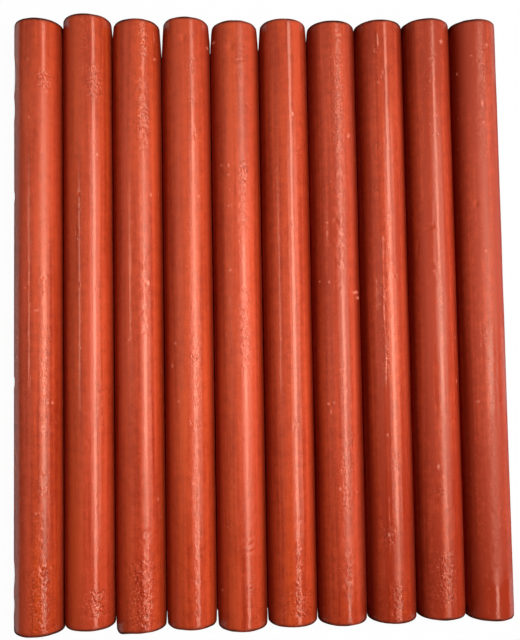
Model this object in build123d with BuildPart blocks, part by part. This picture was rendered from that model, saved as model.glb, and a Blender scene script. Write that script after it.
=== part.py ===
# Ten round sticks of sealing wax, lying side by side on a table.
# +X runs across the row, +Y along the sticks and +Z up. The origin is on the table, under the
# middle of the row.

import os

from build123d import *

# One stick, in millimetres
stick_diameter = 11.0
stick_length = 134.6
rim_radius = 0.8  # rounding of the rim at each end
end_narrowing = 0.2  # taken off the radius at each end, where the cast wax shrinks
end_run = 6.0  # how far in from each end the narrowing reaches

# The row, with one entry for each stick from left to right
side_gap = 0.12  # between neighbours
middle_shifts = (-0.2, 0.75, -0.2, 0.2, -0.55, 0.0, -0.25, -0.05, 0.3, -0.05)  # along +Y
length_errors = (0.0, 0.2, -0.1, 0.1, 0.1, 0.0, -0.35, -0.15, -0.1, 0.35)  # from cutting the wax

stick_radius = stick_diameter / 2
end_radius = stick_radius - end_narrowing
pitch = stick_diameter + side_gap

lengths = [stick_length + error for error in length_errors]
far_end = max(shift + length / 2 for shift, length in zip(middle_shifts, lengths))
near_end = min(shift - length / 2 for shift, length in zip(middle_shifts, lengths))
row_middle = (far_end + near_end) / 2
first_x = -pitch * (len(lengths) - 1) / 2

os.makedirs("parts", exist_ok=True)

for index, (shift, length) in enumerate(zip(middle_shifts, lengths)):
    half_length = length / 2
    half_straight = half_length - end_run
    middle = Vector(first_x + index * pitch, shift - row_middle, stick_radius)

    with BuildPart() as stick:
        # Half of the lengthwise section, from the stick's axis out to its side
        with BuildSketch(Plane(origin=middle, x_dir=(1, 0, 0), z_dir=(0, 0, 1))):
            with BuildLine():
                Polyline(
                    (end_radius, half_length),
                    (0, half_length),
                    (0, -half_length),
                    (end_radius, -half_length),
                )
                Line((stick_radius, -half_straight), (stick_radius, half_straight))
                TangentArc((stick_radius, half_straight), (end_radius, half_length), tangent=(0, 1))
                TangentArc((stick_radius, -half_straight), (end_radius, -half_length), tangent=(0, -1))
            make_face()
        revolve(axis=Axis(middle, (0, 1, 0)))

        flat_ends = stick.faces().filter_by(GeomType.PLANE)
        fillet(flat_ends.edges(), radius=rim_radius)

    stick.part.label = f"stick_{index + 1:02d}"
    export_step(stick.part, f"parts/{stick.part.label}.step")
    print(stick.part.label, "length", length, "volume", round(stick.part.volume, 1))
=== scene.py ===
import math

import bmesh
import bpy
import numpy as np
from mathutils import Matrix, Vector


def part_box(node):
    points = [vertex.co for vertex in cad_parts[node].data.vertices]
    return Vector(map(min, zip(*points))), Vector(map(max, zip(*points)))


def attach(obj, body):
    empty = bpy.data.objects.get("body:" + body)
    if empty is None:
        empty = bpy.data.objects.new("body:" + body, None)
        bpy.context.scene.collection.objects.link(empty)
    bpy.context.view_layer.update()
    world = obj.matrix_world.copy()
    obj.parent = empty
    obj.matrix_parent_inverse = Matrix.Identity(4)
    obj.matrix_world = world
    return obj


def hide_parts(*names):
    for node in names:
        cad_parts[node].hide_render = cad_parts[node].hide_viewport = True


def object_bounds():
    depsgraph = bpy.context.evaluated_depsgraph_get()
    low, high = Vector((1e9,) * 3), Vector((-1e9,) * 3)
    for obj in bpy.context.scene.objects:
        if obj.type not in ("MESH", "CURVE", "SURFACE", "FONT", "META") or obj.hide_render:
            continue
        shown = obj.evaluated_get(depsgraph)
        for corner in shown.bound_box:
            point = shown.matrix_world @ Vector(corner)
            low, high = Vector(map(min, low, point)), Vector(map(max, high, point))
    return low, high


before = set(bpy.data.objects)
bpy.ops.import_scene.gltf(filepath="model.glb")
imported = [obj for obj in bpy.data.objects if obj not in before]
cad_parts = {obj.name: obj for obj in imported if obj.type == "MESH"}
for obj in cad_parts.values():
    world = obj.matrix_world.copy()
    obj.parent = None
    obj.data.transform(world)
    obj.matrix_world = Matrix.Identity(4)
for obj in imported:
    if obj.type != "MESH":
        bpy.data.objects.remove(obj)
cadLow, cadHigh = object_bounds()

mm = 0.001

# every stick: its mesh, and where its masks lie (millimetres, and degrees from the top)
castWax = {
    "blankLength": 134.6,
    "blankRadius": 5.5,
    "facesAround": 180,
    "ringStep": 0.28,       # along the side
    "rimRadius": 0.42,
    "rimRings": 9,
    "capRings": 7,          # across each cut end
    "narrowing": 0.04,      # off the radius at the ends, all round
    "narrowingRun": 3.0,
    "fullness": -0.02,      # over the solids, before any relief
    "endRelief": 0.25,      # the share of the relief at the very end
    "capRelief": 0.05,
    "capBumps": ((0.55, 1), (1.7, 0.35)),  # cells to a millimetre, and their share
    "capReach": (0.6, 1.2),  # how far the cut end's relief goes round the rim, and its fade
    "lipReach": 4,
    "rimLine": (0.0, 0.02, 0.40, 0.80),  # from each end: where the painted shade along the edge comes and goes
    "rimShade": (0.4, 1, 1, 0),
    "rimUneven": (0.8, 0.5),
    "rimPatches": 0.5,      # cells to a millimetre
    "rimInset": 1.6,        # how far in from the side it starts on the cut ends
    "skinInset": 1.2,       # and the masks of the side
    "insetFade": 0.8,
    "topSheen": (24, 54),      # over which the painted sheen of the upper faces goes
    "topSheenFades": (76, 118),  # and where it fades lengthwise
    "cornerShade": ((0.5, 4.5), (46, 72)),  # painted shade at the sides of the ends: lengthwise, and round
    "mattSides": (44, 66),  # over which the gloss goes
    "sideShadeEnds": ((66, 80), (74, 84)),  # where the painted shade of the sides goes again on the left and on the right
}

# the marks on each stick, in millimetres from the far end and in degrees from the top, clockwise as seen
# from the near end
#   pitted, rough: from, to, middle, half width, depth
#   ripples: the same and their spacing
#   ridges: from, to, at, width, height
#   dents, crumbs: along, around, length, width, height, turn
#   shine: from, to, gloss, where 1 is the slickest skin
#   dull: from, to, middle, half width, how much gloss goes
#   rims: end, around, half width, push outwards
#   tapers: end, around, half width, narrowing, run
#   leftSideShade, rightSideShade: painted shade on the sides where the sticks meet: where it comes, where
#       it is full, its share
#   rowShade: painted shade over the whole stick, the sticks on the right darker: from -1 for the deepest
#       red to 1
stickMarks = {
    "stick_01": {
        "seed": 1,
        "rowShade": 0.25,
        "pitted": [(12.2, 16.2, 28, 18, 0.11), (68, 92, 25, 9, 0.05), (100, 105, 24, 10, 0.07),
                   (108, 119, 16, 16, 0.04), (119.5, 134, 12, 30, 0.06)],
        "rough": [(57, 62, 26, 10, 0.016), (120, 123, 22, 10, 0.03)],
        "dents": [(11.6, -74, 5.0, 1.6, -0.3, 0), (19.5, -75, 3.0, 1.4, -0.22, 0),
                  (39.3, -76, 1.4, 1.4, -0.28, 0), (80.5, -76, 1.6, 1.4, -0.28, 0),
                  (122.4, -75, 3.4, 1.5, -0.28, 0), (129, -75, 2.0, 1.2, -0.2, 0),
                  (60, -17, 0.5, 0.5, -0.06, 0), (105.6, -40, 0.5, 1.6, -0.06, 0)],
        "crumbs": [(9.5, -13, 0.5, 0.3, 0.07, 0), (22.6, -10, 0.7, 0.3, 0.08, 0),
                   (65, 6, 0.4, 0.9, 0.05, 0), (85.2, 33, 0.4, 0.4, 0.06, 0),
                   (85.2, 44, 0.4, 0.5, 0.07, 0), (108.5, 5, 0.5, 0.4, 0.06, 0)],
        "shine": [(0, 12, 0.8), (16, 56, -0.7), (57, 61, 0.4), (68, 104, 0.3), (106, 119, -0.4),
                  (119, 134, 0.5)],
        "dull": [(82, 134, -11, 12, 2.5), (0, 24, -11, 12, 2.5), (27, 80, -10, 8, -1.3)],
        "tapers": [("far", -90, 45, 0.2, 400)],
        "leftSideShade": (35, 64, 0.08),
        "rightSideShade": (46, 72, 0.72),
    },
    "stick_02": {
        "seed": 2,
        "rowShade": 0.2,
        "pitted": [(2, 8, 2, 9, 0.035), (11.5, 18.8, 22, 20, 0.07), (48, 51, -22, 9, 0.09),
                   (82, 92, 32, 10, 0.035), (126, 132, 22, 26, 0.1)],
        "dents": [(83.2, 58, 0.5, 3.4, -0.07, 20), (40.6, -13, 0.5, 0.5, -0.07, 0),
                  (94.6, 5, 1.0, 0.5, -0.05, 30)],
        "crumbs": [(31.7, 31, 0.5, 0.4, 0.08, 0), (60.6, -10, 0.8, 0.3, 0.06, 0)],
        "shine": [(0, 11, 0.8), (19, 36, 0.6), (36, 82, 1.0), (92, 126, 0.8), (126, 134, 0.9)],
        "dull": [(88, 134, -12, 12, 2.5), (0, 32, -12, 12, 2.5)],
        "tapers": [("far", 90, 40, 0.22, 3.0), ("near", 90, 40, 0.06, 1.6)],
        "rightSideShade": (46, 72, 0.72),
    },
    "stick_03": {
        "seed": 3,
        "rowShade": 0.2,
        "pitted": [(1, 8.5, 22, 10, 0.08), (19, 26, 20, 18, 0.05), (108, 112.5, 44, 10, 0.06),
                   (119, 133.5, 6, 30, 0.12)],
        "rough": [(13, 30, 18, 18, 0.016), (52, 71, 20, 10, 0.014), (112, 118, 20, 12, 0.018)],
        "ripples": [(34, 37.5, 17, 10, 0.02, 0.8)],
        "dents": [(9.5, 64, 0.5, 2.4, -0.07, 35), (82.2, -56, 0.5, 1.8, -0.09, 12),
                  (43.5, -32, 0.8, 0.8, -0.05, 0)],
        "crumbs": [(1.8, 20, 0.22, 1.0, 0.05, -30), (3.4, 23, 0.22, 1.1, 0.05, -30),
                   (4.8, 20, 0.22, 0.9, 0.05, 30), (3.8, 50, 2.0, 0.22, 0.05, 0),
                   (8.7, 50, 0.7, 0.5, 0.12, 0), (39.6, 37, 0.6, 0.4, 0.1, 0),
                   (106.4, 49, 0.6, 0.5, 0.1, 0), (59.2, 29, 1.0, 0.5, 0.06, 0)],
        "shine": [(0, 13, 0.5), (13, 50, -0.5), (57, 63, 0.6), (63, 98, 0.6), (98, 112, -0.3),
                  (115, 118, 0.5), (119, 134, 0.3)],
        "dull": [(72, 134, -16, 12, 2.5), (0, 28, -16, 12, 2.5), (30, 69, -16, 8, -1.0)],
        "rims": [("near", -58, 26, 0.75)],
        "tapers": [("far", -90, 40, 0.22, 3.0), ("far", 90, 40, 0.38, 6.4), ("near", -90, 40, 0.06, 1.6),
                   ("near", 90, 40, 0.08, 2.0)],
        "rightSideShade": (42, 70, 0.88),
    },
    "stick_04": {
        "seed": 4,
        "rowShade": 0.25,
        "pitted": [(9, 13, 15, 12, 0.07), (18, 19.6, 16, 8, 0.06), (25, 28.5, 24, 9, 0.05),
                   (46, 58, 3, 8, 0.03), (75.2, 77.2, 17, 10, 0.09), (68, 88, 17, 12, 0.035),
                   (89.5, 92.5, 12, 18, 0.06), (96, 134, 13, 9, 0.028)],
        "ridges": [(100, 134, 13.5, 0.45, -0.035)],
        "dents": [(4.7, -4, 1.2, 1.0, -0.16, 0), (122.6, -13, 1.6, 0.4, -0.04, 0)],
        "crumbs": [(6.1, 64, 0.5, 1.0, 0.08, -20), (40.5, 30, 0.6, 0.5, 0.06, 0),
                   (73, -32, 0.5, 0.6, 0.06, 0), (78, -42, 0.9, 0.6, 0.07, 0),
                   (85.8, -25, 0.5, 0.5, 0.1, 0)],
        "shine": [(3, 9, 0.5), (20, 34, 0.9), (34, 68, 0.2), (68, 100, 0.4), (111, 134, 0.9)],
        "dull": [(0, 134, -18, 13, 2.0)],
        "tapers": [("far", -90, 40, 0.42, 6.8), ("far", 90, 40, 0.3, 4.2), ("near", -90, 40, 0.08, 2.0),
                   ("near", 90, 40, 0.14, 3.6)],
        "rightSideShade": (42, 70, 0.88),
    },
    "stick_05": {
        "seed": 5,
        "rowShade": 0.25,
        "pitted": [(32, 38.5, 17, 9, 0.07), (69, 72, 12, 9, 0.07), (70, 72.2, -23, 9, 0.07),
                   (111, 112.6, -30, 8, 0.07), (128, 133, 34, 14, 0.05)],
        "rough": [(9, 14, 16, 9, 0.014), (38, 50, 14, 12, 0.014), (60, 78, 14, 12, 0.014)],
        "ripples": [(5, 10, 28, 24, 0.022, 1.1), (114, 118, 18, 14, 0.03, 1.3),
                    (124, 127.6, 20, 12, 0.03, 0.9)],
        "ridges": [(65.5, 70, -18, 0.35, 0.04)],
        "dents": [(6, -9, 1.5, 1.2, -0.14, 0), (19.1, 28, 0.5, 0.4, -0.08, 0),
                  (43.2, -44, 0.6, 1.0, -0.05, 0)],
        "crumbs": [(4.3, -60, 0.6, 1.0, 0.25, 25), (32.8, -38, 0.5, 0.5, 0.12, 0),
                   (33, -20, 0.8, 0.45, 0.13, 0), (35.1, -20, 0.5, 0.4, 0.12, 0),
                   (38.5, -18, 0.4, 0.3, 0.08, 0), (42, -21, 0.5, 0.4, 0.11, 0),
                   (42, -14, 0.5, 0.3, 0.09, 0), (56.4, -19, 0.5, 0.7, 0.09, 0),
                   (126.2, -55, 0.5, 0.8, 0.16, 20), (32.6, 20, 0.6, 0.35, 0.08, 20),
                   (34.4, 15, 0.9, 0.3, 0.08, 25), (35.3, 24, 0.8, 0.3, 0.08, -25),
                   (37.2, 19, 0.5, 0.35, 0.07, 0)],
        "shine": [(0, 50, -1.0), (50, 62, 0.7), (62, 78, -0.9), (79, 87, 0.7), (87, 95, -0.3),
                  (95, 100, 0.4), (100, 116, 0.0), (118.5, 120.5, 0.7), (128, 134, 0.5)],
        "dull": [(0, 62, -20, 13, 2.5), (73, 134, -20, 13, 2.5)],
        "tapers": [("far", -90, 40, 0.32, 4.6), ("far", 90, 40, 0.32, 5.0), ("near", -90, 40, 0.16, 3.8),
                   ("near", 90, 40, 0.05, 1.6)],
        "rightSideShade": (40, 66, 0.94),
    },
    "stick_06": {
        "seed": 6,
        "rowShade": 0.1,
        "pitted": [(28.5, 31.5, 30, 7, 0.05), (90, 92.5, 8, 9, 0.07), (119.5, 127, 10, 10, 0.06),
                   (127, 132.5, 8, 34, 0.11)],
        "rough": [(110, 126, 12, 7, 0.012)],
        "dents": [(48.7, -8, 0.6, 0.5, -0.08, 0), (22.4, 46, 0.5, 1.0, -0.05, 0)],
        "crumbs": [(21.8, 18, 0.5, 0.4, 0.07, 0), (72.2, -21, 0.7, 0.25, 0.04, 0)],
        "shine": [(0, 22, 0.9), (22, 90, 0.7), (93, 118, 0.8), (118, 134, 0.7)],
        "dull": [(84, 134, -22, 12, 2.5), (0, 25, -22, 12, 2.5)],
        "tapers": [("far", -90, 40, 0.36, 5.0), ("far", 90, 40, 0.16, 2.6), ("near", -90, 40, 0.06, 1.8),
                   ("near", 90, 40, 0.05, 1.6)],
        "rightSideShade": (38, 66, 0.95),
    },
    "stick_07": {
        "seed": 7,
        "rowShade": -0.2,
        "pitted": [(7, 27.8, 9, 20, 0.055), (78, 80, 4, 12, 0.05), (82, 83.5, 8, 8, 0.08),
                   (91, 95.5, 20, 9, 0.05), (96, 102, 12, 28, 0.045), (103.5, 110, 10, 20, 0.055)],
        "rough": [(28, 62, 6, 12, 0.012), (117, 126, 10, 14, 0.016)],
        "ripples": [(88.8, 90.6, 8, 9, 0.025, 0.8), (2, 5.5, 12, 12, 0.03, 1.6)],
        "ridges": [(37.5, 43.5, -25, 0.35, 0.035)],
        "dents": [(124.4, 10, 1.1, 1.0, -0.09, 0), (45.6, -4, 0.9, 0.8, -0.07, 0),
                  (86.4, -24, 0.5, 0.5, -0.08, 0)],
        "crumbs": [(3.2, 17, 0.25, 1.2, 0.06, -35), (4.6, 14, 0.25, 1.2, 0.06, -35),
                   (26.3, 35, 0.8, 0.7, 0.12, 0), (46, -25, 0.5, 0.6, 0.08, 0),
                   (48.4, -25, 1.1, 0.5, 0.05, 0), (59.3, -23, 0.7, 0.45, 0.09, 20),
                   (59.1, -48, 0.6, 0.5, 0.1, 0), (61.6, 47, 0.5, 2.0, 0.22, 4),
                   (62.8, 54, 0.6, 1.0, 0.3, 10), (86.3, -31, 0.5, 0.7, 0.12, 10),
                   (86, -17, 0.7, 0.4, 0.1, -20), (88, -25, 0.9, 0.3, 0.06, 0),
                   (104.8, -8, 0.6, 0.4, 0.07, 20), (104.8, 5, 0.7, 0.4, 0.08, -30),
                   (105.6, 35, 0.5, 0.5, 0.07, 0)],
        "shine": [(0, 7, -0.4), (7, 28, -0.8), (28, 45, -0.9), (46, 49.5, 0.4), (50, 62, -0.2),
                  (62, 88, 0.4), (90, 96, 0.5), (103, 109, 0.2), (109, 128, -1.0), (128.8, 132.2, 1.0)],
        "dull": [(0, 36, -25, 13, 2.5), (51, 134, -25, 13, 2.5)],
        "tapers": [("far", -90, 40, 0.2, 2.8), ("near", -90, 40, 0.05, 1.6), ("near", 90, 40, 0.06, 1.8)],
        "rightSideShade": (30, 62, 1.0),
    },
    "stick_08": {
        "seed": 8,
        "rowShade": -0.4,
        "pitted": [(6.5, 8.5, -16, 9, 0.06), (12, 14.6, -6, 8, 0.07), (28, 30, -16, 14, 0.06),
                   (37.8, 39.8, -25, 14, 0.1), (43.5, 46.5, 5, 8, 0.05), (60, 66, -14, 10, 0.06),
                   (69.5, 82, -12, 9, 0.06), (97, 101, 8, 8, 0.05), (113.5, 117.5, -13, 14, 0.1),
                   (126, 134, 4, 13, 0.06)],
        "rough": [(50, 62, 2, 9, 0.01)],
        "ridges": [(2.6, 7, -13, 0.28, 0.11), (49.5, 84, -13, 0.26, 0.13), (84, 107, -13, 0.26, 0.06),
                   (107, 119, -13, 0.26, 0.09), (125.8, 134, -14, 0.26, 0.09)],
        "dents": [(58.4, 20, 0.6, 0.6, -0.05, 0)],
        "crumbs": [(4.8, -12, 2.3, 0.3, 0.09, 0), (7.4, -20, 0.4, 0.4, 0.06, 0),
                   (14.7, -13, 0.5, 0.35, 0.1, 0), (115.3, -15, 0.6, 0.4, 0.1, 0)],
        "shine": [(2, 42, 0.9), (46, 62, 0.5), (66, 96, 0.7), (102, 113, 0.7), (113, 126, -0.8),
                  (126, 134, 0.2)],
        "dull": [(0, 59, -27, 10, 2.5), (66, 134, -27, 10, 2.5)],
        "tapers": [("near", -90, 40, 0.06, 1.8)],
        "rightSideShade": (34, 60, 1.0),
    },
    "stick_09": {
        "seed": 9,
        "rowShade": -0.75,
        "pitted": [(7, 18, -12, 7, 0.045), (26.4, 28, 8, 7, 0.07), (61, 67.5, 9, 8, 0.06),
                   (106, 107.5, -12, 9, 0.06), (119.5, 131, 3, 28, 0.085)],
        "rough": [(56, 61, 5, 9, 0.014)],
        "ripples": [(6, 12.5, 0, 11, 0.022, 0.9)],
        "ridges": [(42, 56, -3, 0.4, -0.03), (78, 91, -11, 0.35, -0.05), (35, 42.5, -35, 0.4, 0.035)],
        "dents": [(48.2, -17, 0.6, 1.7, -0.15, 12), (52.5, -45, 2.0, 0.5, -0.05, -14)],
        "crumbs": [(5.3, 28, 0.8, 0.7, 0.14, 0), (82.4, 48, 0.9, 0.5, 0.06, 0),
                   (72.6, 48, 0.7, 0.4, 0.05, 0), (101.2, -12, 0.8, 0.4, 0.08, 0)],
        "shine": [(12, 30, 0.8), (30, 42, 0.2), (42, 56, 0.9), (56, 75, -0.3), (76, 84, 1.0),
                  (84.5, 88.5, 0.7), (89, 105, -0.6), (106, 110, 0.5), (110, 124, -0.8), (124, 134, -0.4)],
        "dull": [(0, 134, -29, 14, 3.0)],
        "rightSideShade": (38, 62, 0.95),
    },
    "stick_10": {
        "seed": 10,
        "rowShade": -0.85,
        "pitted": [(6, 15, 8, 9, 0.055), (69.5, 74.5, -2, 13, 0.09), (76.5, 88.5, 6, 8, 0.06),
                   (90.5, 93.5, 5, 9, 0.07), (97.5, 99, -35, 8, 0.06)],
        "rough": [(14, 34, 4, 16, 0.012), (94, 124, 6, 14, 0.012)],
        "ripples": [(46, 48.8, -8, 22, 0.05, 0.8)],
        "ridges": [(32, 94, 17, 0.45, -0.08)],
        "dents": [(42.6, -19, 0.9, 0.9, -0.12, 0)],
        "crumbs": [(6, 20, 0.7, 0.4, 0.09, 0), (8.5, -20, 0.4, 0.4, 0.08, 0),
                   (12.1, -57, 0.6, 0.5, 0.1, 0), (19.6, 2, 1.5, 0.55, 0.09, 0),
                   (24, 4, 0.45, 0.45, 0.09, 0), (53.3, 0, 0.5, 0.5, 0.08, 0),
                   (87, -30, 0.4, 0.8, 0.08, 0)],
        "shine": [(0, 14, -1.2), (14, 70, -2.6), (70, 75, -1.2), (76, 89, -0.4), (89, 125, -2.6),
                  (126.8, 131.2, 0.8)],
        "dull": [(0, 134, -32, 16, 3.0)],
        "tapers": [("far", 90, 45, 0.2, 400)],
        "rightSideShade": (36, 70, 0.6),
    },
}


# what a stick has where its own marks don't say otherwise
plainMarks = {
    "rough": [],
    "ripples": [],
    "ridges": [],
    "rims": [],
    "tapers": [],
    "leftSideShade": (35, 64, 0.5),
}


# relief, worked out for all the points of a stick at once

# the noises: step of the seed, and cells to a millimetre across and along the stick
skinNoise = {
    "streak": (0, 0.8, 0.03),  # lengthwise lines from the mould
    "fineStreak": (1, 1.7, 0.05),
    "wave": (2, 0.14, 0.1),
    "ragged": (4, 0.9, 0.9),  # on the edges of the patches
    "grain": (5, 1.3, 1.3),
    "fineGrain": (6, 2.4, 2.4),
    "wander": (8, 0, 0.12),  # sideways, on the ridges
    "calm": (9, 0.12, 0.07),  # where the skin is smoother or coarser
    "frayed": (12, 2.6, 2.6),  # on the edges of the dents and crumbs
}

# heights in millimetres, shares and gains
skinRelief = {
    "streakDepth": 0.009,
    "fineStreakShare": 0.5,
    "waveDepth": 0.03,
    "fineGrainShare": 0.6,
    "peelDepth": 0.013,     # the fine unevenness all over
    "leastPeel": 0.3,
    "slickShare": 0.6,      # and how much of it the slickest stretches lose
    "pitSize": 0.56,
    "pitReach": (0.26, 0.6),  # of the cell that each pit has
    "pitScatter": (0.2, 0.6),  # its least distance from the cell's border, and the room that leaves
    "pitDepths": (0.3, 0.7),  # the shallowest, and how much more the deepest has
    "smallPits": 0.7,       # the size and the depth of the smaller ones
    "pitGain": 2.0,
    "pitGrain": 0.25,
    "pittedFrom": 0.08,     # the depth from which a patch counts as wholly pitted
    "hiddenPatches": 7,
    "hiddenShare": 0.8,
    "roughGain": 2.8,
    "roughShare": 0.3,      # how pitted the rough patches look
    "patchEdge": 1.4,
    "patchPower": 1.4,
    "patchRagged": 6,       # degrees
    "shineRagged": 1.5,
    "shineEdge": 5,
    "strayDepth": 0.10,     # single pits and specks
    "strayGap": 2.7,
    "strayReach": (0.05, 0.11),
    "speckGap": 2.6,        # times the pits'
    "speckReach": (0.01, 0.045),
    "speckShade": 0.5,
    "rippleRagged": 2.5,
    "rippleSlant": 7,
    "ridgeEdge": 1.0,
    "ridgeUneven": (0.75, 0.5),
    "ridgeWander": 1.5,     # degrees
    "markGain": 1.6,        # on the single dents and crumbs of the upper faces
    "markLimit": 66,        # degrees from the top where the upper faces end
    "markGrain": 0.35,
    "markFray": 0.16,
    "markShear": 0.25,
    "crumbSize": 0.8,
    "crumbFill": 1.7,
    "contacts": (66, 76, 104, 114, 140, 155),  # degrees from the top
    "contactRoom": (0.5, 0.056, 0.056, 0.2, 0.2, 0.02),  # the most that the relief rises there
    "swell": (0, 0.05, 0.05, 0, 0, 0),  # and how much fuller the sticks are there
}

# coarse patches on the undersides, drawn at random between these limits
hiddenPatches = {
    "start": (2, 120),
    "reach": (3, 14),
    "offBottom": (-85, 85),
    "halfWidth": (10, 32),
    "depth": (0.04, 0.1),
}

draws = np.random.default_rng(11)
noiseTable = draws.random((64, 64, 64)) * 2 - 1
pitTable = draws.random((256, 256, 4))


def softNoise(points, seed):
    # smooth noise from -1 to 1, one bump to a cell
    cells = np.floor(points).astype(int)
    part = points - cells
    ease = part * part * (3 - 2 * part)
    cells += np.array([seed * 17, seed * 29, seed * 41])
    total = np.zeros(len(points))
    for corner in range(8):
        step = np.array([corner & 1, corner >> 1 & 1, corner >> 2 & 1])
        weight = np.where(step, ease, 1 - ease).prod(axis=1)
        total += weight * noiseTable[tuple(((cells + step) & 63).T)]
    return total


def scatteredPits(around, along, size, seed, reaches):
    # round bowls of many sizes, one to a cell, from 0 at the skin to 1 at the deepest
    columns = round(2 * math.pi * castWax["blankRadius"] / size)
    spots = np.stack([(around / 360 + 0.5) * columns, along / size], axis=1)
    home = np.floor(spots).astype(int)
    depth = np.zeros(len(spots))
    least, most = reaches
    (margin, room), (shallow, deeper) = skinRelief["pitScatter"], skinRelief["pitDepths"]
    for du in (-1, 0, 1):
        for dv in (-1, 0, 1):
            cells = home + (du, dv)
            rows, places = (cells[:, 0] % columns + seed * 31) & 255, (cells[:, 1] + seed * 57) & 255
            u, v, reach, deep = pitTable[rows, places].T
            reach = least + (most - least) * reach
            offset = spots - cells - margin - room * np.stack([u, v], axis=1)
            away = (offset ** 2).sum(axis=1) / reach ** 2
            depth = np.maximum(depth, np.clip(1 - away, 0, None) ** 2 * (shallow + deeper * deep))
    return depth


def between(values, low, high, edge):
    # 1 inside the stretch and 0 outside, with soft edges
    rise = np.clip((values - low) / edge + 0.5, 0, 1)
    fall = np.clip((high - values) / edge + 0.5, 0, 1)
    rise, fall = rise * rise * (3 - 2 * rise), fall * fall * (3 - 2 * fall)
    return rise * fall


def patch(along, around, start, stop, middle, half):
    falls = np.exp(-(((around - middle) / half) ** 2) ** skinRelief["patchPower"])
    return between(along, start, stop, skinRelief["patchEdge"]) * falls


def spot(along, arc, mark, radius, size):
    # a smooth oval, 1 in the middle and 0 at its edge
    atAlong, atAround, length, width, _, turn = mark
    c, s = math.cos(math.radians(turn)), math.sin(math.radians(turn))
    u, v = along - atAlong, arc - math.radians(atAround) * radius
    away = ((u * c + v * s) / length) ** 2 + ((v * c - u * s) / width) ** 2
    return np.clip(1 - away / size ** 2, 0, None) ** 2


def reliefOf(marks, along, around, radius):
    # height over the plain round stick in millimetres, and the masks that the wax's finish reads
    skin, seed = skinRelief, marks["seed"] * 100
    turn = np.radians(around)
    arc = turn * radius
    ring = np.stack([radius * np.sin(turn), along, radius * np.cos(turn)], axis=1)
    noise = {name: softNoise(ring * (across, lengthwise, across), seed + step)
             for name, (step, across, lengthwise) in skinNoise.items()}
    ragged, frayed = noise["ragged"], skin["markFray"] * noise["frayed"]
    grain = noise["grain"] + skin["fineGrainShare"] * noise["fineGrain"]
    calm = 0.5 + 0.5 * noise["calm"]
    wander = skin["ridgeWander"] * noise["wander"]
    pits = scatteredPits(around, along, skin["pitSize"], seed + 7, skin["pitReach"])
    smallSize = skin["pitSize"] * skin["smallPits"]
    smallPits = scatteredPits(around, along, smallSize, seed + 17, skin["pitReach"])
    pits = np.maximum(pits, skin["smallPits"] * smallPits)
    strays = scatteredPits(around, along, skin["strayGap"], seed + 23, skin["strayReach"])
    speckGap = skin["strayGap"] * skin["speckGap"]
    specks = scatteredPits(around, along, speckGap, seed + 33, skin["speckReach"])

    height = skin["streakDepth"] * noise["streak"]
    height += skin["fineStreakShare"] * skin["streakDepth"] * noise["fineStreak"]
    height += skin["waveDepth"] * noise["wave"]
    shine = np.zeros(len(along))
    for start, stop, gloss in marks["shine"]:
        shine += gloss * between(along + skin["shineRagged"] * ragged, start, stop, skin["shineEdge"])
    slick = skin["slickShare"] * np.clip(shine, 0, 1)
    height += skin["peelDepth"] * (skin["leastPeel"] + calm) * (1 - slick) * grain
    height -= skin["strayDepth"] * strays
    height += skin["strayDepth"] * specks
    pitted, crumbs = np.zeros(len(along)), np.clip(specks, 0, skin["speckShade"])

    frayedTurn = skin["patchRagged"] * ragged
    hidden = np.random.default_rng(marks["seed"])
    for _ in range(skin["hiddenPatches"]):
        draw = {key: hidden.uniform(*limits) for key, limits in hiddenPatches.items()}
        start, stop = draw["start"], draw["start"] + draw["reach"]
        middle, half = 180 + draw["offBottom"], draw["halfWidth"]
        here = patch(along, around % 360 + frayedTurn, start, stop, middle, half)
        height -= draw["depth"] * here * pits
        pitted = np.maximum(pitted, skin["hiddenShare"] * here)
    for start, stop, middle, half, depth in marks["pitted"]:
        here = patch(along, around + frayedTurn, start, stop, middle, half)
        height -= skin["pitGain"] * depth * here * pits
        height += skin["pitGrain"] * depth * here * grain
        pitted = np.maximum(pitted, here * min(1, depth / skin["pittedFrom"]))
    for start, stop, middle, half, depth in marks["rough"]:
        here = patch(along, around + frayedTurn, start, stop, middle, half)
        height += skin["roughGain"] * depth * here * grain
        pitted = np.maximum(pitted, skin["roughShare"] * here)
    for start, stop, middle, half, depth, spacing in marks["ripples"]:
        here = patch(along, around, start, stop, middle, half)
        slant = skin["rippleRagged"] * ragged + turn * skin["rippleSlant"]
        height += depth * here * np.sin(2 * math.pi * along / spacing + slant)
    for start, stop, at, width, tall in marks["ridges"]:
        whole, uneven = skin["ridgeUneven"]
        here = between(along, start, stop, skin["ridgeEdge"]) * (whole + uneven * ragged)
        height += tall * here * np.exp(-((arc - np.radians(at + wander) * radius) / width) ** 2)

    for mark in marks["dents"] + marks["crumbs"]:
        raised, upper = mark[4] > 0, abs(mark[1]) < skin["markLimit"]
        size, gain = skin["crumbSize"] if raised else 1, skin["markGain"] if upper else 1
        shape = spot(along + frayed, arc + skin["markShear"] * ragged * frayed, mark, radius, size)
        height += gain * mark[4] * shape * (1 + skin["markGrain"] * grain)
        if raised:
            crumbs = np.maximum(crumbs, np.clip(shape * skin["crumbFill"], 0, 1))
    height += np.interp(np.abs(around), skin["contacts"], skin["swell"])
    height = np.minimum(height, np.interp(np.abs(around), skin["contacts"], skin["contactRoom"]))
    for start, stop, middle, half, less in marks["dull"]:
        shine -= less * patch(along, around, start, stop, middle, half)
    return height, pitted, crumbs, shine


# one stick: a half section spun round its axis, then every point moved by the relief

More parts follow.
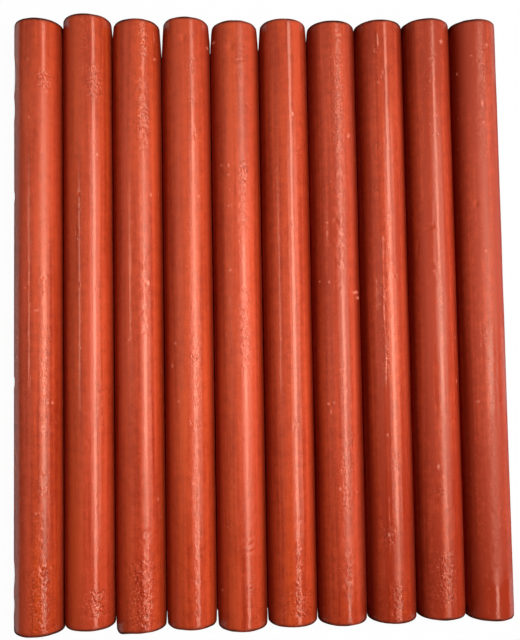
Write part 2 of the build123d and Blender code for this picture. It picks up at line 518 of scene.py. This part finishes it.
def halfSection(length, radius):
    # (distance from the far end, radius) from the middle of one cut end to the middle of the other
    rim, run = castWax["rimRadius"], castWax["narrowingRun"]
    rings = []
    flat = radius - castWax["narrowing"] - rim  # the flat of the cut end
    for step in range(castWax["capRings"]):
        rings.append((0.0, flat * step / castWax["capRings"]))
    for step in range(castWax["rimRings"]):
        turn = math.pi / 2 * step / castWax["rimRings"]
        rings.append((rim * (1 - math.cos(turn)), flat + rim * math.sin(turn)))
    steps = round((length / 2 - rim) / castWax["ringStep"])
    for step in range(steps + 1):
        along = rim + (length / 2 - rim) * step / steps
        thin = max(0, 1 - (along - rim) / (run - rim))
        rings.append((along, radius - castWax["narrowing"] * thin ** 2))
    return rings + [(length - along, out) for along, out in reversed(rings[:-1])]


def makeBlank(length, radius):
    # a plain stick about the origin in millimetres, spun once and copied for all ten
    bm = bmesh.new()
    chain = [bm.verts.new((0, length / 2 - along, out)) for along, out in halfSection(length, radius)]
    edges = [bm.edges.new(pair) for pair in zip(chain, chain[1:])]
    bmesh.ops.spin(bm, geom=chain + edges, cent=(0, 0, 0), axis=(0, 1, 0), angle=2 * math.pi,
                   steps=castWax["facesAround"], use_merge=True)
    bmesh.ops.remove_doubles(bm, verts=bm.verts, dist=1e-4)
    bmesh.ops.recalc_face_normals(bm, faces=bm.faces)
    blank = bpy.data.meshes.new("blankStick")
    bm.to_mesh(blank)
    bm.free()
    blank.polygons.foreach_set("use_smooth", np.ones(len(blank.polygons), dtype=bool))
    return blank


def shapeStick(marks, spots, length, radius):
    # moves the blank's points by the relief, and gives the masks that the wax's finish reads
    out, rimRadius = np.hypot(spots[:, 0], spots[:, 2]), castWax["rimRadius"]
    along, around = length / 2 - spots[:, 1], np.degrees(np.arctan2(spots[:, 0], spots[:, 2]))
    fromEnd, fromTop, inset = np.minimum(along, length - along), np.abs(around), out - radius
    height, pitted, crumbs, shine = reliefOf(marks, along, around, radius)

    # the side moves outwards, and the cut ends move lengthwise
    side = np.clip((inset + castWax["narrowing"] + rimRadius) / rimRadius, 0, 1)
    side *= np.clip(fromEnd / rimRadius + castWax["endRelief"], 0, 1)
    grow = (castWax["fullness"] + height) * side
    for end, at, half, amount, run in marks["tapers"]:
        away = length - along if end == "near" else along
        lean = np.clip(1 - away / run, 0, 1) * np.exp(-((around - at) / half) ** 2)
        grow -= amount * lean * np.clip(out / radius, 0, 1)
    spots += spots / np.maximum(out, 1e-6)[:, None] * (1, 0, 1) * grow[:, None]
    reach, fade = castWax["capReach"]
    ends = between(fromEnd, -1, rimRadius * reach, rimRadius * fade)
    cut = castWax["capRelief"] * sum(share * softNoise(spots * cells, marks["seed"] * 100 + 21 + step)
                                     for step, (cells, share) in enumerate(castWax["capBumps"]))
    facing = np.where(along < length / 2, 1.0, -1.0)
    spots[:, 1] += facing * cut * ends
    for end, at, half, push in marks["rims"]:
        here = np.exp(-((around - at) / half) ** 2) * np.clip(out / radius * 2 - 1, 0, 1)
        lip, middle = castWax["lipReach"], length if end == "near" else 0
        spots[:, 1] += facing * push * here * between(along, middle - lip, middle + lip, lip)

    skin = np.clip((inset + castWax["skinInset"]) / castWax["insetFade"], 0, 1)
    # painted shade on the flanks, darkest towards where the sticks meet
    sideShade = np.zeros(len(along))
    for label, turned, gone in zip(("leftSideShade", "rightSideShade"), (-around, around), castWax["sideShadeEnds"]):
        start, full, share = marks[label]
        sideShade += np.interp(turned, (start, full, *gone), (0, share, share, 0))
    # painted shade at the sides of the ends, joined to the painted shade of the flanks
    lengthwise, sideways = castWax["cornerShade"]
    corner = np.interp(fromEnd, lengthwise, (1, 0)) * np.interp(fromTop, sideways, (0, 1))
    # painted sheen: the upper faces paler, fading out towards the near end
    topSheen = np.interp(fromTop, castWax["topSheen"], (1, 0)) * np.interp(along, castWax["topSheenFades"], (1, 0))
    # painted shade along the edges of the cut ends, in uneven patches
    whole, uneven = castWax["rimUneven"]
    rim = np.interp(fromEnd, castWax["rimLine"], castWax["rimShade"])
    rim = rim * (whole + uneven * softNoise(spots * castWax["rimPatches"], marks["seed"]))
    rim = np.clip(rim, 0, 1) * np.clip((inset + castWax["rimInset"]) / castWax["insetFade"], 0, 1)
    cutEnd = ends * (1 - side)
    matt = np.interp(fromTop, castWax["mattSides"], (0, 1)) * skin
    return {
        "pitted": pitted, "crumbs": crumbs, "shine": shine, "cutEnd": cutEnd, "rim": rim,
        "sideShade": np.maximum(sideShade, corner) * skin, "topSheen": topSheen * skin,
        "matt": np.clip(matt + rim + cutEnd, 0, 1), "rowShade": np.full(len(along), marks["rowShade"]),
    }


def makeStick(name, marks, blank):
    low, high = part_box(name)
    middle = np.array(Vector(low) + Vector(high)) / 2
    length, radius = (high[1] - low[1]) / mm, (high[0] - low[0]) / 2 / mm
    mesh = blank.copy()
    mesh.name = name + "_wax"
    spots = np.zeros(len(mesh.vertices) * 3)
    mesh.vertices.foreach_get("co", spots)
    spots = spots.reshape(-1, 3)
    spots[:, 1] *= length / (spots[:, 1].max() - spots[:, 1].min())
    masks = shapeStick(marks, spots, length, radius)
    mesh.vertices.foreach_set("co", (spots * mm + middle).ravel())
    for label, values in masks.items():
        mesh.attributes.new(label, "FLOAT", "POINT").data.foreach_set("value", values)
    mesh.update()
    stick = bpy.data.objects.new(name + "_wax", mesh)
    bpy.context.scene.collection.objects.link(stick)
    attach(stick, name)
    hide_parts(name)
    return stick


# shader maths as plain expressions

class Wire:
    def __init__(self, tree, socket):
        self.tree, self.socket = tree, socket

    def math(self, operation, *values):
        node = self.tree.nodes.new("ShaderNodeMath")
        node.operation = operation
        for slot, value in zip(node.inputs, values):
            plug(self.tree, slot, value)
        return Wire(self.tree, node.outputs[0])

    def __add__(self, other):
        return self.math("ADD", self, other)

    def __radd__(self, other):
        return self.math("ADD", other, self)

    def __sub__(self, other):
        return self.math("SUBTRACT", self, other)

    def __rsub__(self, other):
        return self.math("SUBTRACT", other, self)

    def __mul__(self, other):
        return self.math("MULTIPLY", self, other)

    def __truediv__(self, other):
        return self.math("DIVIDE", self, other)

    def fades(self, limit, run):
        # 1 up to the limit, and 0 a run beyond it
        return ((limit + run - self) / run).clamp()

    def size(self):
        return self.math("ABSOLUTE", self)

    def clamp(self):
        return self.math("MINIMUM", self.math("MAXIMUM", self, 0.0), 1.0)


def plug(tree, slot, value):
    if isinstance(value, Wire):
        tree.links.new(value.socket, slot)
    else:
        slot.default_value = value


class Finish:
    def __init__(self, owner):
        owner.use_nodes = True
        self.owner, self.tree = owner, owner.node_tree
        self.tree.nodes.clear()

    def node(self, kind, settings=None, inputs=None, output=0):
        node = self.tree.nodes.new(kind)
        for key, value in (settings or {}).items():
            setattr(node, key, value)
        for key, value in (inputs or {}).items():
            plug(self.tree, node.inputs[key], value)
        return Wire(self.tree, node.outputs[output]) if node.outputs else None

    def noise(self, where, cells, detail, stretch):
        scale = (cells, cells * stretch, cells)
        place = self.node("ShaderNodeMapping", inputs={"Vector": where, "Scale": scale})
        return self.node("ShaderNodeTexNoise", inputs={"Vector": place, "Scale": 1.0, "Detail": detail})

    def mixColour(self, share, first, second):
        return self.node("ShaderNodeMix", {"data_type": "RGBA"}, {0: share, 6: first, 7: second}, output=2)

    def mask(self, name):
        return self.node("ShaderNodeAttribute", {"attribute_name": name}, output="Fac")

    def seen(self, glossShare):
        # 1 where the camera looks straight at it or through something, less in a reflection
        kinds = ("Is Camera Ray", "Is Transmission Ray", "Is Glossy Ray")
        camera, through, glossy = (self.node("ShaderNodeLightPath", output=kind) for kind in kinds)
        return (camera + through + glossy * glossShare).clamp()

    def finish(self, surface, kind="ShaderNodeOutputMaterial"):
        self.node(kind, inputs={"Surface": surface})
        return self.owner


waxFinish = {
    "noise": {              # cells to a metre, detail, and the stretch along the stick
        "cloud": (70, 3, 1),
        "mottle": (620, 4, 1),
        "streak": (420, 3, 0.035),
        "hairline": (1500, 2, 0.02),
        "grain": (2400, 2, 1),
        "bands": (330, 2, 0.03),
    },
    "shades": {"cloud": 0.6, "streak": 2.2, "hairline": 1.3, "mottle": 1.2, "grain": 0.9},
    "rowShadeSpread": 0.6,
    "deepRed": (0.42, 0.033, 0.0085, 1),
    "brightRed": (0.70, 0.079, 0.0170, 1),
    "roseRed": (0.62, 0.068, 0.0420, 1),  # the pinker of the lengthwise bands
    "roseBands": (3.0, 0.4),  # their contrast, and how much of the wax they take up
    "roseShare": 0.5,
    # painted shade: on the flanks where the sticks meet, at the sides of the ends, and in the pits of the
    # pitted patches
    "shadeRed": (0.17, 0.011, 0.0030, 1),
    # the paler wax of the crumbs, partly painted glints on them; the painted glints of the pitted patches;
    # the painted sheen of the upper faces
    "crumbAndGlintPale": (0.95, 0.28, 0.18, 1),
    "edgeShadeRed": (0.035, 0.010, 0.007, 1),  # painted shade along the edge of each cut end
    "paintedSheen": 0.095,         # the painted sheen, paler, on the upper faces
    "crumbShare": 0.5,
    "edgeShadeDepth": 0.95,
    "pitsBelow": 0.44,      # the dark and the pale ends of the fine grain in the pitted patches: painted shade in the pits and painted glints
    "glintsOver": 0.60,
    "fleckContrast": 9.0,
    "pitShadeAndGlintShare": 0.6,
    "roughness": 0.235,
    "shineSpread": 0.10,    # how much slicker or duller the skin gets along a stick
    "streakSpread": 0.16,   # and across it
    "dullSides": 0.42,      # less gloss on the cut ends, their edges and the flanks
    "warmGloss": (1, 0.59, 0.45, 1),
    "glossIndex": 1.6,
    "dryRoughness": 0.8,    # the matt skin of the sides and edges
    "dryShare": 0.85,
    "grainHeight": 0.000015,
    "grainBump": (0.4, 3.0),  # everywhere, and more of it in the pitted patches
    "hairlineBump": 0.5,
}


def makeWax():
    wax = Finish(bpy.data.materials.new("sealingWax"))
    place = wax.node("ShaderNodeTexCoord", output="Object")
    pitted, crumbs, shine, cutEnd = (wax.mask(name) for name in ("pitted", "crumbs", "shine", "cutEnd"))
    sideShade, topSheen, rowShade, rim, matt = (wax.mask(name) for name in ("sideShade", "topSheen", "rowShade", "rim", "matt"))
    noise = {name: wax.noise(place, *settings) for name, settings in waxFinish["noise"].items()}
    grain, streak, hairline = noise["grain"], noise["streak"], noise["hairline"]
    shade = 0.5
    for name, gain in waxFinish["shades"].items():
        shade = shade + (noise[name] - 0.5) * gain
    # painted shade: each stick darker or lighter as a whole, the sticks on the right darker
    shade = (shade + rowShade * waxFinish["rowShadeSpread"]).clamp()
    colour = wax.mixColour(shade, waxFinish["deepRed"], waxFinish["brightRed"])
    contrast, lift = waxFinish["roseBands"]
    bands = ((noise["bands"] - 0.5) * contrast + lift).clamp()
    colour = wax.mixColour(bands * shade * waxFinish["roseShare"], colour, waxFinish["roseRed"])
    # painted shade on the flanks where the sticks meet and at the sides of the ends
    colour = wax.mixColour(sideShade, colour, waxFinish["shadeRed"])
    # painted shade in the pits of the pitted patches, and painted glints beside them
    pits = ((waxFinish["pitsBelow"] - grain) * waxFinish["fleckContrast"]).clamp() * pitted
    colour = wax.mixColour(pits * waxFinish["pitShadeAndGlintShare"], colour, waxFinish["shadeRed"])
    paintedGlints = ((grain - waxFinish["glintsOver"]) * waxFinish["fleckContrast"]).clamp() * pitted
    # the crumbs paler, partly their own wax and partly painted glints, with the painted glints of the
    # pitted patches and the painted sheen of the upper faces
    pale = paintedGlints * waxFinish["pitShadeAndGlintShare"] + crumbs * waxFinish["crumbShare"] + topSheen * waxFinish["paintedSheen"]
    colour = wax.mixColour(pale.clamp(), colour, waxFinish["crumbAndGlintPale"])
    # painted shade along the edges of the cut ends
    colour = wax.mixColour(rim * waxFinish["edgeShadeDepth"], colour, waxFinish["edgeShadeRed"])
    rough = waxFinish["roughness"] - shine * waxFinish["shineSpread"]
    rough = rough + (streak - 0.5) * waxFinish["streakSpread"]
    rough = rough + (cutEnd + rim + sideShade) * waxFinish["dullSides"]
    plainBump, pittedBump = waxFinish["grainBump"]
    heights = grain * (pitted * pittedBump + plainBump) + hairline * waxFinish["hairlineBump"]
    bump = wax.node("ShaderNodeBump", inputs={"Height": heights, "Distance": waxFinish["grainHeight"]})
    glossy = wax.node("ShaderNodeBsdfPrincipled", inputs={
        "Base Color": colour, "Roughness": rough.clamp(), "Normal": bump,
        "IOR": waxFinish["glossIndex"], "Specular Tint": waxFinish["warmGloss"],
    })
    dry = wax.node("ShaderNodeBsdfPrincipled", inputs={
        "Base Color": colour, "Roughness": waxFinish["dryRoughness"], "Normal": bump,
        "Specular IOR Level": 0.0,
    })
    mixed = wax.node("ShaderNodeMixShader", inputs={0: matt * waxFinish["dryShare"], 1: glossy, 2: dry})
    return wax.finish(mixed)


# the stage

lamps = {
    "key": {  # the long window that draws the bright line on every stick
        "place": (227, 12, 412),
        "size": (100, 640),
        "glow": 5.6,
    },
    "halo": {  # the paler light round it
        "place": (255, 15, 396),
        "size": (420, 350),
        "glow": 2.18,
    },
    "panel": {  # a closer one that lights the middle of the row most, and leaves no shine
        "place": (132, 5, 212),
        "size": (130, 60),
        "glow": 1.1,
        "spread": 52,
        "shines": False,
    },
    "sideKey": {  # the narrow lamp behind the fainter second line
        "place": (-282, 35, 350),
        "size": (48, 190),
        "glow": 3.3,
    },
}

studio = {
    "skyGlow": 0.04,
    "skyShine": 0.04,       # how much of the white round the stage the wax mirrors
    "floorHalf": 2000,
    "floorWhite": 0.92,
    "floorShine": 0.4,      # how much of that white the wax mirrors
    "floorGlow": 0.97,      # the share of the floor's white that no shadow darkens
    "slitFar": 4.0,         # how far that white reaches in under the ends of the row
    "slitSlant": 0.08,      # and more so on the left
    "slitNear": 1.7,
    "slitFade": 0.2,
    "shadeHalf": 5.6,       # the darker floor beneath each stick, on both sides of its middle
    "shadeFade": 1.6,
}

photoCamera = {
    "place": (-9.415, -9.485, 176.283),
    "turn": (3.0435, -2.8966, -0.9598),
    "lens": 42.448,
    "sensor": 36,
    "nearest": 10,
}


def makeLamp(name, place, size, glow, spread=180, shines=True):
    data = bpy.data.lights.new(name, "AREA")
    data.shape = "RECTANGLE"
    data.size, data.size_y = size[0] * mm, size[1] * mm
    data.energy = glow * math.pi * data.size * data.size_y
    data.spread = math.radians(spread)
    lamp = bpy.data.objects.new(name, data)
    lamp.visible_glossy = shines
    back = (Vector(place) - Vector((0, place[1], castWax["blankRadius"]))).normalized()
    along = Vector((0, 1, 0))  # the long side runs along the sticks
    turn = Matrix((along.cross(back), along, back)).transposed()
    lamp.matrix_world = Matrix.Translation(Vector(place) * mm) @ turn.to_4x4()
    bpy.context.scene.collection.objects.link(lamp)


def makeFloor(sticks):
    bm = bmesh.new()
    bmesh.ops.create_grid(bm, x_segments=1, y_segments=1, size=studio["floorHalf"] * mm)
    mesh = bpy.data.meshes.new("floor")
    bm.to_mesh(mesh)
    bm.free()
    floor = bpy.data.objects.new("floor", mesh)
    bpy.context.scene.collection.objects.link(floor)
    paper = Finish(bpy.data.materials.new("floorPaper"))
    white = (studio["floorWhite"],) * 3 + (1,)
    under = 0.0
    slits = {key: studio[key] * mm for key in ("slitFar", "slitNear", "slitFade", "shadeHalf", "shadeFade")}
    for name, stick in sticks.items():
        low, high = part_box(name)
        # read from the stick, so that the shade goes along with it
        place = paper.node("ShaderNodeTexCoord", {"object": stick}, output="Object")
        across, lengthwise = (
            paper.node("ShaderNodeSeparateXYZ", inputs={0: place}, output=axis) for axis in "XY")
        here = (across - (low[0] + high[0]) / 2).size().fades(slits["shadeHalf"], slits["shadeFade"])
        farther = lengthwise - across * studio["slitSlant"]
        here = here * farther.fades(cadHigh.y - slits["slitFar"], slits["slitFade"])
        under = here * (0 - lengthwise).fades(0 - cadLow.y - slits["slitNear"], slits["slitFade"]) + under
    matt = paper.node("ShaderNodeBsdfDiffuse", inputs={"Color": white})
    glow = paper.node("ShaderNodeEmission", inputs={"Color": (1, 1, 1, 1), "Strength": 1.0})
    lit = paper.seen(studio["floorShine"]) * (1 - under.clamp()) * studio["floorGlow"]
    mixed = paper.node("ShaderNodeMixShader", inputs={0: lit, 1: matt, 2: glow})
    mesh.materials.append(paper.finish(mixed))


def makeSky():
    sky = Finish(bpy.data.worlds.new("sky"))
    strength = studio["skyGlow"] + sky.seen(studio["skyShine"]) * (1 - studio["skyGlow"])
    air = sky.node("ShaderNodeBackground", inputs={"Color": (1, 1, 1, 1), "Strength": strength})
    bpy.context.scene.world = sky.finish(air, "ShaderNodeOutputWorld")


def makeCamera():
    data = bpy.data.cameras.new("photoCamera")
    data.lens, data.sensor_width = photoCamera["lens"], photoCamera["sensor"]
    data.clip_start = photoCamera["nearest"] * mm
    camera = bpy.data.objects.new("photoCamera", data)
    camera.location = Vector(photoCamera["place"]) * mm
    camera.rotation_euler = [math.radians(turn) for turn in photoCamera["turn"]]
    bpy.context.scene.collection.objects.link(camera)
    bpy.context.scene.camera = camera


wax = makeWax()
blankStick = makeBlank(castWax["blankLength"], castWax["blankRadius"])
print("blank stick spun")
sticks = {}
for name, marks in stickMarks.items():
    sticks[name] = makeStick(name, {**plainMarks, **marks}, blankStick)
    sticks[name].data.materials.append(wax)
    print(name, "faces", len(sticks[name].data.polygons))

for name, lamp in lamps.items():
    makeLamp(name, **lamp)
makeFloor(sticks)
makeSky()
makeCamera()
bpy.context.scene.view_settings.view_transform = "Standard"
print("stage ready")
